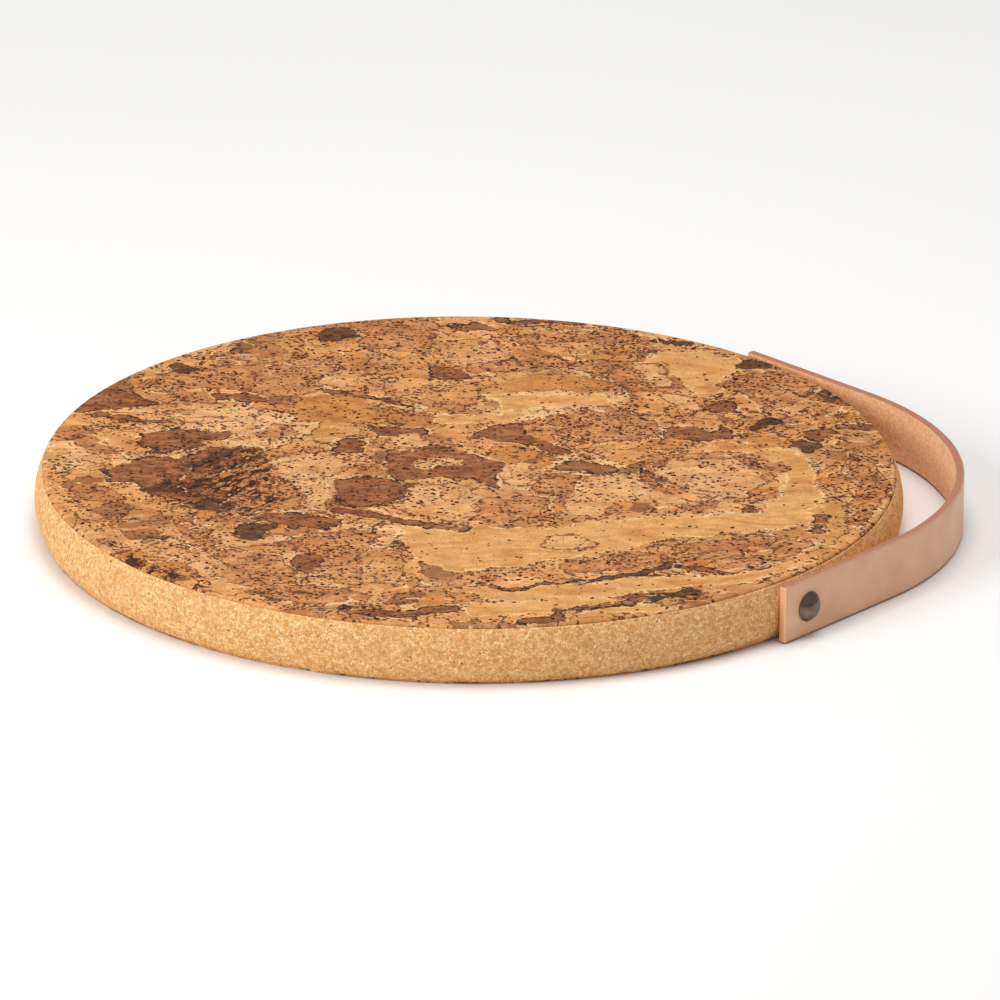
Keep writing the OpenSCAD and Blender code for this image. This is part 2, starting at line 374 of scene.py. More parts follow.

# %% [markdown]
# ## Cork bark: the layout of the sheet
# A bark veneer is sliced from a block of bark strips pressed together, so it shows a patchwork: golden
# slabs, rusty and brown islands, pale cream ones, and nearly black bits of outer bark. A random pattern
# would do for the small pieces, but the large islands give this sheet its face. They are laid out one by
# one in millimetres from the centre, each with a tone, half a width and a few points. A streak follows
# its points with that half width. A slab has a half width of 0, and its points are a closed outline.
# Noise from a fixed seed then makes every outline ragged. What the mesh stores is the distance to the
# nearest outline of each tone, because distances stay true between points and give a crisp edge at any
# scale. The same places decide how many flecks there are.

# %% Islands on the upper face
TOP_ISLANDS = [
    # Golden slabs with soft growth lines and few flecks
    ("smooth", 0, [(-26, -58), (30, -57), (62, -50), (116, -44), (121, -53), (98, -62), (74, -66),
                   (52, -76), (32, -85), (12, -94), (-8, -97), (-20, -86)]),
    ("smooth", 0, [(61, 97), (70, 109), (86, 109), (98, 102), (99, 92), (92, 82), (92, 70), (81, 70),
                   (77, 86)]),
    ("smooth", 0, [(11, 68), (48, 68), (50, 58), (40, 56), (24, 58), (13, 52)]),
    ("smooth", 6, [(88, 18), (103, 15), (113, -4), (115, -26), (108, -42)]),
    ("smooth", 0, [(12, -104), (34, -110), (60, -104), (84, -101), (104, -92), (112, -92), (96, -106),
                   (70, -114), (40, -122), (4, -124), (-6, -116)]),
    ("smooth", 4, [(-8, 44), (6, 44), (18, 50)]),
    ("smooth", 5, [(0, -134), (30, -128), (54, -130)]),
    ("orange", 0, [(8, 72), (14, 82), (28, 87), (42, 86), (50, 79), (48, 69), (32, 74), (18, 70)]),
    ("orange", 0, [(-60, 64), (-50, 70), (-41, 68), (-34, 60), (-31, 48), (-36, 41), (-58, 43), (-63, 54)]),
    ("orange", 4, [(60, 18), (76, 22)]),
    ("orange", 6, [(92, 20), (104, 22)]),
    # Rusty slabs full of flecks
    ("rust", 0, [(-108, 88), (-94, 98), (-60, 97), (-49, 90), (-50, 74), (-62, 66), (-76, 72), (-96, 76),
                 (-112, 74)]),
    ("rust", 0, [(-43, 144), (-22, 148), (-7, 143), (-9, 124), (-13, 106), (-22, 111), (-36, 118),
                 (-32, 128)]),
    ("rust", 0, [(91, 78), (99, 85), (112, 90), (123, 83), (125, 74), (117, 64), (111, 57), (105, 51),
                 (102, 63)]),
    ("rust", 0, [(20, 44), (36, 50), (55, 51), (67, 42), (69, 30), (50, 24), (37, 24), (22, 34)]),
    ("rust", 0, [(3, -30), (14, -26), (26, -31), (29, -46), (24, -56), (9, -57), (1, -52)]),
    ("rust", 0, [(-94, 6), (-79, 21), (-71, 15), (-67, -2), (-64, -12), (-58, -27), (-58, -41), (-72, -43),
                 (-81, -48), (-92, -38), (-100, -16)]),
    ("rust", 0, [(20, -22), (27, -9), (38, -8), (35, -30), (25, -30)]),
    ("rust", 0, [(26, -92), (36, -88), (48, -82), (60, -80), (66, -86), (58, -92), (42, -98), (30, -100)]),
    ("rust", 0, [(69, -75), (84, -69), (100, -66), (112, -69), (104, -77), (90, -81), (77, -87),
                 (69, -92)]),
    ("rust", 0, [(131, 14), (141, 4), (143, -18), (139, -40), (130, -58), (126, -54), (132, -28)]),
    ("rust", 0, [(-62, -70), (-43, -60), (-31, -64), (-38, -80), (-40, -97), (-52, -101), (-60, -88)]),
    ("rust", 0, [(-91, -76), (-78, -80), (-64, -86), (-61, -97), (-60, -109), (-72, -112), (-86, -108)]),
    ("rust", 0, [(-80, -114), (-60, -110), (-44, -112), (-42, -121), (-55, -129), (-72, -122)]),
    ("rust", 0, [(-101, -58), (-90, -57), (-86, -70), (-90, -77), (-97, -72)]),
    ("rust", 5, [(62, -10), (72, 4), (92, 8), (103, -4)]),
    ("rust", 6, [(8, 96), (34, 100), (48, 92)]),
    ("rust", 5, [(24, 122), (44, 126), (66, 122)]),
    ("rust", 4, [(84, -90), (100, -86), (112, -76)]),
    # Brown islands
    ("brown", 0, [(-113, 31), (-104, 34), (-100, 39), (-92, 33), (-82, 33), (-85, 27), (-91, 26), (-93, 19),
                  (-106, 13), (-112, 22)]),
    ("brown", 0, [(-127, 75), (-118, 72), (-113, 65), (-107, 60), (-120, 57), (-128, 54), (-137, 51),
                  (-135, 62)]),
    ("brown", 2.2, [(-128, 48), (-116, 45), (-105, 43)]),
    ("brown", 2.8, [(-86, 67), (-79, 67), (-73, 64)]),
    ("brown", 1.3, [(-50, 73), (-42, 71), (-32, 66), (-22, 60)]),
    ("brown", 0, [(-33, 38), (-24, 38), (-16, 36), (-16, 30), (-21, 27), (-31, 30)]),
    ("brown", 4.5, [(-42, 20), (-42, 14)]),
    ("brown", 0, [(-29, 14), (-20, 16), (-12, 22), (-5, 16), (3, 9), (10, 1), (9, -19), (2, -12),
                  (-14, -11), (-24, -12), (-28, -2)]),
    ("brown", 0, [(-10, 95), (-4, 97), (1, 93), (3, 85), (-3, 82), (-11, 86)]),
    ("brown", 3.5, [(2, 134), (9, 134)]),
    ("brown", 2, [(14, 143), (30, 141), (46, 138)]),
    ("brown", 0, [(8, 38), (18, 41), (20, 32), (26, 24), (33, 19), (37, 11), (29, 12), (20, 20), (10, 24),
                  (1, 27)]),
    ("brown", 5, [(36, -2), (45, -4)]),
    ("brown", 0, [(69, 34), (78, 37), (84, 32), (89, 37), (95, 28), (84, 23), (71, 24)]),
    ("brown", 0, [(78, 51), (85, 58), (92, 63), (94, 55), (97, 48), (86, 49)]),
    ("brown", 3.5, [(120, 27), (126, 31)]),
    ("brown", 2, [(132, 36), (142, 35)]),
    ("brown", 4, [(122, 66), (132, 60)]),
    ("brown", 0, [(-128, -4), (-119, 3), (-110, 9), (-99, 8), (-90, 16), (-79, 21), (-76, 6), (-92, -10),
                  (-84, -30), (-90, -38), (-97, -33), (-109, -29), (-115, -16), (-126, -13)]),
    ("brown", 0, [(-47, -16), (-40, -11), (-28, -11), (-22, -20), (-26, -31), (-33, -38), (-43, -37),
                  (-48, -28)]),
    ("brown", 2.5, [(-46, -41), (-32, -46), (-20, -54), (-4, -59)]),
    ("brown", 0, [(-79, -45), (-60, -43), (-45, -50), (-48, -58), (-62, -59), (-70, -52)]),
    ("brown", 3.6, [(-57, -86), (-56, -96)]),
    ("brown", 1, [(0, -111), (12, -115), (24, -109), (33, -107)]),
    ("brown", 1.3, [(26, -134), (45, -127), (60, -122)]),
    ("brown", 2.2, [(14, -144), (25, -141), (26, -134)]),
    ("brown", 2.6, [(-45, -133), (-28, -138), (-10, -132)]),
    ("brown", 2.2, [(117, -50), (116, -62)]),
    ("brown", 1.2, [(68, -95), (84, -99), (98, -94)]),
    # Pale cream islands
    ("pale", 2.6, [(-122, 53), (-106, 55), (-88, 58)]),
    ("pale", 3, [(-98, 46), (-84, 45)]),
    ("pale", 2, [(-113, 39), (-110, 35), (-104, 40)]),
    ("pale", 0, [(-69, 5), (-62, 13), (-50, 14), (-46, 8), (-43, -3), (-47, -10), (-60, -12), (-66, -8)]),
    ("pale", 0, [(-60, -13), (-50, -12), (-45, -24), (-48, -32), (-50, -43), (-57, -39), (-57, -28),
                 (-61, -20)]),
    ("pale", 0, [(-19, 1), (-14, 7), (-6, 9), (-2, 4), (-3, -2), (-9, -4), (-15, -3)]),
    ("pale", 4, [(-20, 27), (-24, 22), (-16, 24)]),
    ("pale", 6, [(16, -4), (17, -14)]),
    ("pale", 0, [(40, -11), (56, -9), (63, -20), (71, -30), (79, -37), (60, -36), (48, -33), (43, -52),
                 (34, -46), (32, -34), (36, -24)]),
    ("pale", 0, [(-22, -20), (-14, -16), (0, -20), (3, -34), (1, -48), (-7, -53), (-19, -44), (-27, -38),
                 (-22, -28)]),
    ("pale", 0, [(64, -2), (70, 5), (82, 8), (93, 7), (99, -2), (101, -16), (97, -28), (86, -33), (76, -27),
                 (68, -17), (63, -9)]),
    ("pale", 0, [(24, -69), (30, -63), (38, -65), (42, -72), (37, -78), (29, -79), (24, -75)]),
    ("pale", 2.6, [(8, 126), (11, 117)]),
    ("pale", 4, [(66, 94), (69, 80)]),
    ("pale", 3, [(72, 66), (78, 56)]),
    ("pale", 3, [(-85, -62), (-82, -72), (-66, -68)]),
    ("pale", 4, [(-96, -84), (-92, -100)]),
    ("pale", 1, [(-101, -68), (-97, -80), (-89, -88), (-86, -108)]),
    ("pale", 0.9, [(130, 4), (131, -22), (129, -50)]),
    ("pale", 1, [(78, 44), (98, 41), (110, 46)]),
    # Bits of outer bark, nearly black
    ("dark", 0, [(-50, 130), (-44, 134), (-35, 131), (-33, 126), (-41, 123), (-49, 121)]),
    ("dark", 3.6, [(-102, 97), (-98, 94)]),
    ("dark", 3.4, [(-108, -22), (-98, -21)]),
    ("dark", 0, [(-98, -37), (-92, -31), (-84, -31), (-81, -37), (-86, -45), (-92, -41)]),
    ("dark", 0, [(-84, -61), (-80, -52), (-72, -56), (-65, -54), (-70, -62), (-76, -68)]),
    ("dark", 2.2, [(-82, 15), (-88, 6), (-98, 2)]),
    ("dark", 4.2, [(102, 98), (105, 96)]),
    ("dark", 2.5, [(125, 70), (128, 63)]),
    ("dark", 2.4, [(102, 34), (107, 41)]),
    ("dark", 0, [(111, 22), (119, 26), (121, 17), (117, 10), (112, 14)]),
    ("dark", 0, [(32, -108), (44, -103), (56, -97), (67, -89), (69, -94), (58, -101), (46, -106),
                 (34, -110)]),
    ("dark", 2.6, [(59, -121), (71, -118)]),
    ("dark", 2, [(72, 122), (80, 118)]),
    # Places where the flecks crowd together
    ("flecked", 0, [(-112, -18), (-98, 4), (-84, 20), (-70, 20), (-66, -4), (-60, -30), (-76, -46),
                    (-96, -32)]),
    ("flecked", 1.2, [(30, -62), (23, -70), (26, -78), (35, -80), (42, -75), (42, -67)]),
    ("flecked", 6, [(-127, -70), (-114, -90), (-102, -104)]),
    ("flecked", 4, [(-74, -118), (-52, -118)]),
    ("flecked", 3, [(137, 4), (139, -18), (134, -46)]),
    ("flecked", 3, [(60, 66), (56, 78)]),
    ("flecked", 3, [(62, -10), (74, -24), (100, -28)]),
    ("flecked", 3, [(74, -84), (90, -76), (104, -72)]),
    ("flecked", 3, [(-60, 106), (-46, 102)]),
]
TONES = ("smooth", "orange", "rust", "brown", "pale", "dark", "flecked")
FAR_OFF = 6
print(len(TOP_ISLANDS), "islands on the upper face")

# %% Distance to the outlines
NOISE_SEED = 4
noise.seed_set(NOISE_SEED)


def ragged(points, size, push, seed):
    """Points in millimetres, each pushed about by smooth noise."""
    shift = [noise.noise_vector(Vector((x / size, y / size, seed))) for x, y in points]
    return points + np.array(shift)[:, :2] * push


def distance_to_path(points, path):
    """How far each point is from a path of straight stretches."""
    best = np.full(len(points), np.inf)
    for start, end in zip(path, path[1:]):
        a = np.array(start, float)
        along = np.array(end, float) - a
        share = np.clip((points - a) @ along / (along @ along), 0, 1)
        best = np.minimum(best, np.linalg.norm(points - a - share[:, None] * along, axis=1))
    return best


def distance_to_outline(points, outline):
    """How far each point is from a closed outline, negative inside it."""
    away = distance_to_path(points, outline + outline[:1])
    inside = np.zeros(len(points), bool)
    for (ax, ay), (bx, by) in zip(outline, outline[1:] + outline[:1]):
        crossed = (ay > points[:, 1]) != (by > points[:, 1])
        meets = ax + (points[:, 1] - ay) * (bx - ax) / ((by - ay) or 1)
        inside ^= crossed & (points[:, 0] < meets)
    return np.where(inside, -away, away)


def tone_distances(points, islands, seed):
    """For each tone, the distance in millimetres to its nearest outline, negative inside."""
    warped = ragged(ragged(points, 22, 3, seed), 7, 2.2, seed + 9)
    swell = 1 + 0.35 * np.array([noise.noise(Vector((x / 9, y / 9, seed + 20))) for x, y in points])
    found = {tone: np.full(len(points), float(FAR_OFF)) for tone in TONES}
    for tone, half_width, line in islands:
        if half_width:
            away = distance_to_path(warped, line) - half_width * swell
        else:
            away = distance_to_outline(warped, line) + 0.8 * (1 - swell)
        found[tone] = np.minimum(found[tone], away)
    return {tone: np.clip(d, -FAR_OFF, FAR_OFF) for tone, d in found.items()}


FLECKS_IN = {"smooth": 0.03, "orange": 0.2, "rust": 0.62, "brown": 0.35, "pale": 0.32, "dark": 0.3}


def fleck_density(points, tones, seed):
    """From 0 to 1, how many flecks the bark has at each point."""
    clouds = np.array([noise.noise(Vector((x / 14, y / 14, seed))) for x, y in points])
    clumps = np.array([noise.noise(Vector((x / 5, y / 5, seed + 7))) for x, y in points])
    density = 0.36 + 0.5 * clouds
    for tone, amount in FLECKS_IN.items():
        inside = np.clip(0.5 - tones[tone], 0, 1)
        density = density * (1 - inside) + amount * (1 + 0.9 * np.clip(clouds, -0.6, 0.6)) * inside
    density = np.maximum(density, 0.85 * np.clip(-tones["flecked"] / 2.5, 0, 1))
    return np.clip(density * (1 + 1.3 * clumps), 0.02, 1)


# %% [markdown]
# ## Cork bark: the material
# The bark is painted from the bottom up, one layer over the other: the ground, fine lines, the
# islands, scorched streaks, and last the specks and pores. Each layer is a function of its own. First
# come the tones and the patterns that several layers use.

# %% Bark: tones and patterns
GOLD = "d7995d"
HONEY = "c68d52"
CREAM = "e1b079"
SAND = "d79e67"
ORANGE = "c68449"
RUST = "ae7143"
BROWN = "7f4f31"
CHOCOLATE = "4f3324"
SLATE = "33241e"
HALO = "e6bb87"
ISLAND_TONES = (
    ("smooth", "dda76b", "cf955a", CREAM),
    ("orange", "cd8d4c", "b77742", RUST),
    ("rust", "d4975f", "b3754a", BROWN),
    ("brown", "a96c44", "693c26", SLATE),
    ("pale", "e3b27c", "d09963", "8a5838"),
    ("dark", "6d4b35", "33211a", SLATE),
)


def picked(r, cells):
    """Three random numbers for each cell."""
    return r.add("ShaderNodeSeparateColor", {"Color": cells.outputs["Color"]}).outputs


def patchwork(r, torn, size, tones, share):
    """Ragged cells in random tones. Only a share of the cells is covered."""
    cells = r.cells(torn, size, flat=True)
    chance = picked(r, cells)
    return r.ramp(chance[0], tones, steps=True), r.remap(chance[1], 1 - share, 1.02 - share)


def seam_line(r, torn, size, thickness):
    """A line along the borders between the cells."""
    edge = r.cells(torn, size, "DISTANCE_TO_EDGE", flat=True).outputs["Distance"]
    return r.remap(edge, thickness / size, 1.8 * thickness / size, 1, 0)


def fleck_mask(r, place, size, density, reach):
    """Small ragged flecks, one to a cell, in as many cells as the density says."""
    cells = r.cells(r.shift(place, size * 0.45, size * 0.22), size, flat=True)
    chance = picked(r, cells)
    radius = r.times(r.math("ADD", 0.35, chance[1]), reach)
    here = r.math("LESS_THAN", chance[0], density)
    fleck = r.remap(r.math("SUBTRACT", cells.outputs["Distance"], radius), 0.03, -0.03)
    return r.times(fleck, here)


def contour(r, field, level, thickness):
    """A thin wandering line where a noise passes one level."""
    away = r.math("ABSOLUTE", r.math("SUBTRACT", field, level))
    return r.remap(away, thickness, thickness * 1.6, 1, 0)


# %% [markdown]
# ### What all layers of the bark share
# Places torn by noise make ragged cells, and places drawn out along the board make streaks. Two masks
# decide where a line shows: a broken line comes and goes, and a whole one runs on for longer.

# %% Bark: shared places and masks
def bark_masks(r):
    """The places, masks and growth bands that the layers of the bark share."""
    place = r.millimetres()
    fine = r.times(r.math("SUBTRACT", r.noise(place, 2.2, 6), 0.5), 4.5)
    coarse = r.times(r.math("SUBTRACT", r.noise(place, 7, 3), 0.5), 6)
    flow = r.noise(r.vector("MULTIPLY", r.shift(place, 40, 9), (0.35, 1, 1)), 34, 1.2)
    waves = r.math("PINGPONG", r.times(flow, 15), 1)
    return {
        "place": place,
        "torn": r.shift(r.shift(r.shift(place, 16, 9), 5, 3), 1.5, 0.8),
        "drawn": r.vector("MULTIPLY", r.shift(place, 12, 3), (0.45, 1, 1)),
        "jitter": r.math("ADD", fine, coarse),
        "broken": r.remap(r.noise(place, 5, 4), 0.42, 0.48),
        "whole": r.remap(r.noise(place, 12, 4), 0.52, 0.47),
        "bands": r.ramp(waves, [(0, "f7ead9"), (0.5, "ffffff"), (1, "dfbd96")]),
        "density": r.attribute("fleck_density"),
    }


# %% [markdown]
# ### The ground between the islands
# Large slabs in golden tones, with smaller chips over nearly half of them. Some places are stained by
# rust and some are bleached. Then come the growth bands, the seams between the cells, and two sorts of
# fine line that wander across everything: pale veins and dark cracks.

# %% Bark: ground, seams, veins and cracks
SLAB_SIZE = 26
CHIP_SIZE = 12
SLAB_TONES = [(0, GOLD), (0.2, HONEY), (0.35, SAND), (0.5, CREAM), (0.62, GOLD), (0.78, ORANGE), (0.9, GOLD)]
CHIP_TONES = [(0, HONEY), (0.25, RUST), (0.5, SAND), (0.7, ORANGE), (0.9, BROWN)]


def bark_ground(r, masks):
    """Slabs and chips with their stains, bands and seams."""
    torn, drawn, broken = masks["torn"], masks["drawn"], masks["broken"]
    slabs, _ = patchwork(r, torn, SLAB_SIZE, SLAB_TONES, 1)
    chips, where = patchwork(r, torn, CHIP_SIZE, CHIP_TONES, 0.45)
    colour = r.mix(r.times(where, 0.75), slabs, chips)
    stain = r.remap(r.noise(drawn, 16, 5), 0.5, 0.68, 0, 0.55)
    colour = r.mix(stain, colour, RUST)
    bleach = r.remap(r.noise(drawn, 11, 5), 0.56, 0.72, 0, 0.6)
    colour = r.mix(bleach, colour, CREAM)
    colour = r.mix(0.5, colour, masks["bands"], "MULTIPLY")
    chip_seam = r.times(seam_line(r, torn, CHIP_SIZE, 0.22), r.times(where, broken))
    colour = r.mix(chip_seam, colour, CHOCOLATE)
    return r.mix(r.times(seam_line(r, torn, SLAB_SIZE, 0.28), broken), colour, "6d452f")


def bark_lines(r, masks, colour):
    """Pale veins and dark cracks."""
    vein = contour(r, r.noise(r.shift(masks["drawn"], 5, 1.5), 24, 1.5), 0.5, 0.004)
    colour = r.mix(r.times(vein, r.times(masks["whole"], 0.8)), colour, "e9c492")
    crack = contour(r, r.noise(r.shift(masks["drawn"], 4, 1.5), 17, 2.5), 0.46, 0.0035)
    return r.mix(r.times(crack, masks["broken"]), colour, CHOCOLATE)


# %% [markdown]
# ### The islands
# The mesh knows how far each point is from the nearest outline of each tone. The patch group makes a
# filled patch and a thin line of that. The same group, set a little outside, gives the pale line that
# runs beside the brown, rusty and smooth islands.

# %% Bark: islands and scorched streaks
PALE_LINE_GAPS = {"brown": 1.2, "rust": 1.0, "smooth": 0.6}


def bark_islands(r, masks, colour):
    """The islands in order, each streaky inside and outlined, then the pale lines beside some."""
    streak = r.remap(r.noise(masks["drawn"], 2.6, 6), 0.34, 0.66)
    for tone, light, deep, rim in ISLAND_TONES:
        where = {"Distance": r.attribute(tone), "Jitter": masks["jitter"], "Line": 0.4}
        patch = use_group(r, patch_group, where)
        fill = r.mix(0.6, r.mix(streak, deep, light), masks["bands"], "MULTIPLY")
        colour = r.mix(r.times(patch["Inside"], 0.92), colour, fill)
        colour = r.mix(r.times(patch["Outline"], masks["broken"]), colour, rim)
    for tone, gap in PALE_LINE_GAPS.items():
        beside = r.math("SUBTRACT", r.attribute(tone), gap)
        line = use_group(r, patch_group, {"Distance": beside, "Jitter": masks["jitter"], "Line": 0.36})
        colour = r.mix(r.times(line["Outline"], r.times(masks["whole"], 0.62)), colour, HALO)
    return colour


def bark_scorch(r, masks, colour):
    """Slanting streaks, nearly black, that are strongest in the middle of the flecked places."""
    slanting = {"Vector": masks["place"], "Rotation": (0, 0, 0.95), "Scale": (2.6, 1, 1)}
    slant = r.add("ShaderNodeMapping", slanting, vector_type="TEXTURE").outputs[0]
    scorch = r.remap(r.noise(r.shift(slant, 2, 0.7), 2.5, 4), 0.515, 0.55)
    flecked = r.attribute("flecked")
    burnt = r.times(r.remap(flecked, 0.5, -3), scorch)
    char = r.times(burnt, r.remap(flecked, 0, -4.5, 0.3, 0.96))
    return r.mix(char, colour, "24160f")


# %% [markdown]
# ### Unevenness, specks and pores
# Brown smudges follow the flecks, and a mottle and a fine grain take the flatness away. The specks and
# pores are painted, and also sunk a little, so that light catches their rims.

# %% Bark: the whole material


def cork_bark():
    """All layers of the bark, from the ground up to the pores."""
    material, r = new_material("cork_bark")
    masks = bark_masks(r)
    place, density = masks["place"], masks["density"]
    colour = bark_lines(r, masks, bark_ground(r, masks))
    colour = bark_scorch(r, masks, bark_islands(r, masks, colour))

    smudge = r.remap(r.noise(place, 2.6, 6), 0.5, 0.66)
    colour = r.mix(r.times(smudge, r.remap(density, 0.05, 0.5, 0, 0.45)), colour, "845030")
    mottle = r.remap(r.noise(place, 7, 6), 0.3, 0.7, 0.84, 1.12)
    grain = use_group(r, grain_group, {"Place": place, "Size": 0.8, "Contrast": 0.2})
    colour = r.shaded(colour, r.times(mottle, grain["Shade"]))

    specks = fleck_mask(r, place, 2.3, r.times(density, 0.95), 0.25)
    pores = fleck_mask(r, place, 1.2, r.math("ADD", 0.08, r.times(density, 0.4)), 0.26)
    colour = r.mix(r.times(pores, 0.6), colour, "6f3f27")
    colour = r.mix(r.times(specks, 0.9), colour, "46291d")

    sunk = r.math("ADD", r.times(specks, 0.8), r.times(pores, 0.4))
    height = r.math("SUBTRACT", grain["Height"], sunk)
    return finish_material(r, material, colour, 0.8, height, 0.35, 0.12, Specular_IOR_Level=0.15)


bark = cork_bark()

# %% [markdown]
# ## Bark veneers
# A veneer is a disc whose points lie evenly over its face, so that the stored distances are good
# everywhere. Rings with six more points each time do that: the mesh has no crowded centre. The last few
# rings turn over the rounded rim and down the thin edge.

# %% Evenly spaced disc


def even_disc(rings, radius):
    """Points and triangles of a flat disc in which every ring has six points more than the last."""
    points = [(0.0, 0.0)]
    starts = [0]
    for k in range(1, rings + 1):
        starts.append(len(points))
        turn = np.arange(6 * k) * (2 * math.pi / (6 * k))
        points += list(zip(np.cos(turn) * radius * k / rings, np.sin(turn) * radius * k / rings))
    faces = []
    for k in range(1, rings + 1):
        inner, outer = max(6 * (k - 1), 1), 6 * k
        for side in range(6):
            for i in range(k):
                a = starts[k] + side * k + i
                b = starts[k] + (side * k + i + 1) % outer
                p = starts[k - 1] + (side * (k - 1) + i) % inner
                faces.append((p, a, b))
                if i < k - 1:
                    faces.append((p, b, starts[k - 1] + (side * (k - 1) + i + 1) % inner))
    return np.array(points), faces


def close_rim(points, faces, count, profile):
    """Carries the outermost ring of a disc over a rim of (radius, height) steps and closes it."""
    rim = points[-count:]
    unit = rim[:, :2] / np.linalg.norm(rim[:, :2], axis=1)[:, None]
    last = len(points) - count
    for radius, height in profile:
        ring = np.column_stack([unit * radius, np.full(count, height)])
        start = len(points)
        points = np.vstack([points, ring])
        for i in range(count):
            j = (i + 1) % count
            faces.append((last + i, start + i, start + j, last + j))
        last = start
    centre = len(points)
    points = np.vstack([points, [0, 0, profile[-1][1]]])
    faces += [(last + i, centre, last + (i + 1) % count) for i in range(count)]
    return points, faces


SOFT_RIM = 0.35 * MM


def veneer(name, rings, z_face, z_glue, islands, seed):
    """A bark veneer: its face at one height and its glued side at the other."""
    inward = SOFT_RIM if z_face > z_glue else -SOFT_RIM
    face_r = edge_radius(z_face)
    flat, faces = even_disc(rings, face_r - SOFT_RIM)
    points = np.column_stack([flat, np.full(len(flat), z_face)])
    profile = [
        (face_r - 0.3 * SOFT_RIM, z_face - 0.25 * inward),
        (edge_radius(z_face - inward), z_face - inward),
        (edge_radius((z_face + z_glue) / 2), (z_face + z_glue) / 2),
        (edge_radius(z_glue), z_glue),
    ]
    points, faces = close_rim(points, list(faces), 6 * rings, profile)
    if z_face < z_glue:
        faces = [f[::-1] for f in faces]
    piece = new_piece(name, points, faces, bark)
    flat_mm = points[:, :2] / MM
    tones = tone_distances(flat_mm, islands, seed)
    for tone in TONES:
        store(piece, tone, tones[tone])
    store(piece, "fleck_density", fleck_density(flat_mm, tones, seed + 3))
    return piece


TOP_RINGS = 150
top_veneer = veneer("top_bark", TOP_RINGS, board_t, core_z[1], TOP_ISLANDS, 2.5)
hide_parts("top_veneer")
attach(top_veneer, "board")

# %% [markdown]
# ## Underside
# Nobody lays out the sheet that faces the table, so its islands are strewn at random from a fixed seed.

# %% Base veneer
BASE_RINGS = 110
BASE_ISLANDS = 60
BASE_SHARES = {"rust": 0.25, "brown": 0.25, "pale": 0.2, "smooth": 0.12, "dark": 0.08, "flecked": 0.1}
strewn = np.random.default_rng(11)


def random_island():
    """A streak of a random tone, width and direction somewhere on the sheet."""
    tone = strewn.choice(list(BASE_SHARES), p=list(BASE_SHARES.values()))
    start = strewn.uniform(-125, 125, 2)
    step = strewn.uniform(-22, 22, 2)
    half_width = strewn.uniform(3, 11) * (0.5 if tone == "dark" else 1)
    return str(tone), half_width, [tuple(start), tuple(start + step)]


base_islands = [random_island() for _ in range(BASE_ISLANDS)]
base_veneer = veneer("base_bark", BASE_RINGS, 0.0, core_z[0], base_islands, 6.5)
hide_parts("base_veneer")
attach(base_veneer, "board")

# %% [markdown]
# ## Flecks in the bark
# Cork breathes through lenticels, and a slice through them shows thousands of small dark flecks, most of
# them a millimetre or two long and no two alike. Geometry Nodes strew them: more where the stored
# density is high, turned at random, then realized and pushed about by noise so that their outlines go
# ragged.
# Each is a very flat closed cone that stands a few hundredths of a millimetre out of the face.

# %% Fleck material


def bark_fleck():
    """Dark red-brown for most flecks, and nearly black for a few."""
    material, r = new_material("bark_fleck")
    tones = [(0, "33190f"), (0.25, "52291a"), (0.5, "784429"), (0.8, "8e5836"), (0.92, "4a3229")]
    tones.append((1, "2b1c17"))
    place = r.millimetres()
    grain = use_group(r, grain_group, {"Place": place, "Size": 0.5, "Contrast": 0.3})
    uneven = r.times(r.math("SUBTRACT", grain["Height"], 0.5), 0.5)
    colour = r.ramp(r.math("ADD", r.attribute("tint"), uneven, clamp=True), tones)
    return finish_material(r, material, colour, 0.95, grain["Height"], 0.3, 0.05, Specular_IOR_Level=0.1)


fleck_stuff = bark_fleck()

# %% Fleck geometry tree
FLECK_RISE = 0.05 * MM
FLECK_SINK = 0.012 * MM
FLECK_CORNERS = 7
FLECK_NUMBERS = {
    "Per square metre": 100000.0,
    "Least radius": 0.4 * MM,
    "Largest radius": 1.3 * MM,
    "Turn over": 0.0,
}


def chance(r, seed, low=0.0, high=1.0):
    """A random number for each fleck."""
    inputs = {"Min": low, "Max": high, "Seed": seed}
    return r.add("FunctionNodeRandomValue", inputs, data_type="FLOAT").outputs[1]


def flat_cones(r, given):
    """A flat cone on each random spot, with a size, a turn and a tint of its own."""
    stored = r.add("GeometryNodeInputNamedAttribute", {"Name": "fleck_density"}, data_type="FLOAT")
    spots = r.add("GeometryNodeDistributePointsOnFaces", distribute_method="RANDOM")
    r.feed(spots.inputs["Mesh"], given["Geometry"])
    r.feed(spots.inputs["Density"], r.times(stored.outputs[0], given["Per square metre"]))
    r.feed(spots.inputs["Seed"], given["Seed"])
    shape = {"Vertices": FLECK_CORNERS, "Radius Top": 0.0, "Radius Bottom": 1.0, "Depth": 1.0}
    cone = r.add("GeometryNodeMeshCone", shape, fill_type="NGON")
    mostly_small = r.math("POWER", chance(r, 5), 1.7)
    size = r.remap(mostly_small, 0, 1, given["Least radius"], given["Largest radius"])
    width = r.times(size, chance(r, 6, 0.5, 1.0))
    scale = r.add("ShaderNodeCombineXYZ", {0: size, 1: width, 2: FLECK_RISE}).outputs[0]
    turn = chance(r, 7, -3.1, 3.1)
    turned = r.add("ShaderNodeCombineXYZ", {0: given["Turn over"], 1: 0.0, 2: turn}).outputs[0]
    flecks = r.add("GeometryNodeInstanceOnPoints", {"Rotation": turned, "Scale": scale})
    r.feed(flecks.inputs["Points"], spots.outputs["Points"])
    r.feed(flecks.inputs["Instance"], cone.outputs["Mesh"])
    tinted = r.add("GeometryNodeStoreNamedAttribute", {"Name": "tint"}, data_type="FLOAT", domain="INSTANCE")
    r.feed(tinted.inputs["Geometry"], flecks.outputs["Instances"])
    r.feed(tinted.inputs["Value"], chance(r, 8))
    return tinted.outputs["Geometry"]


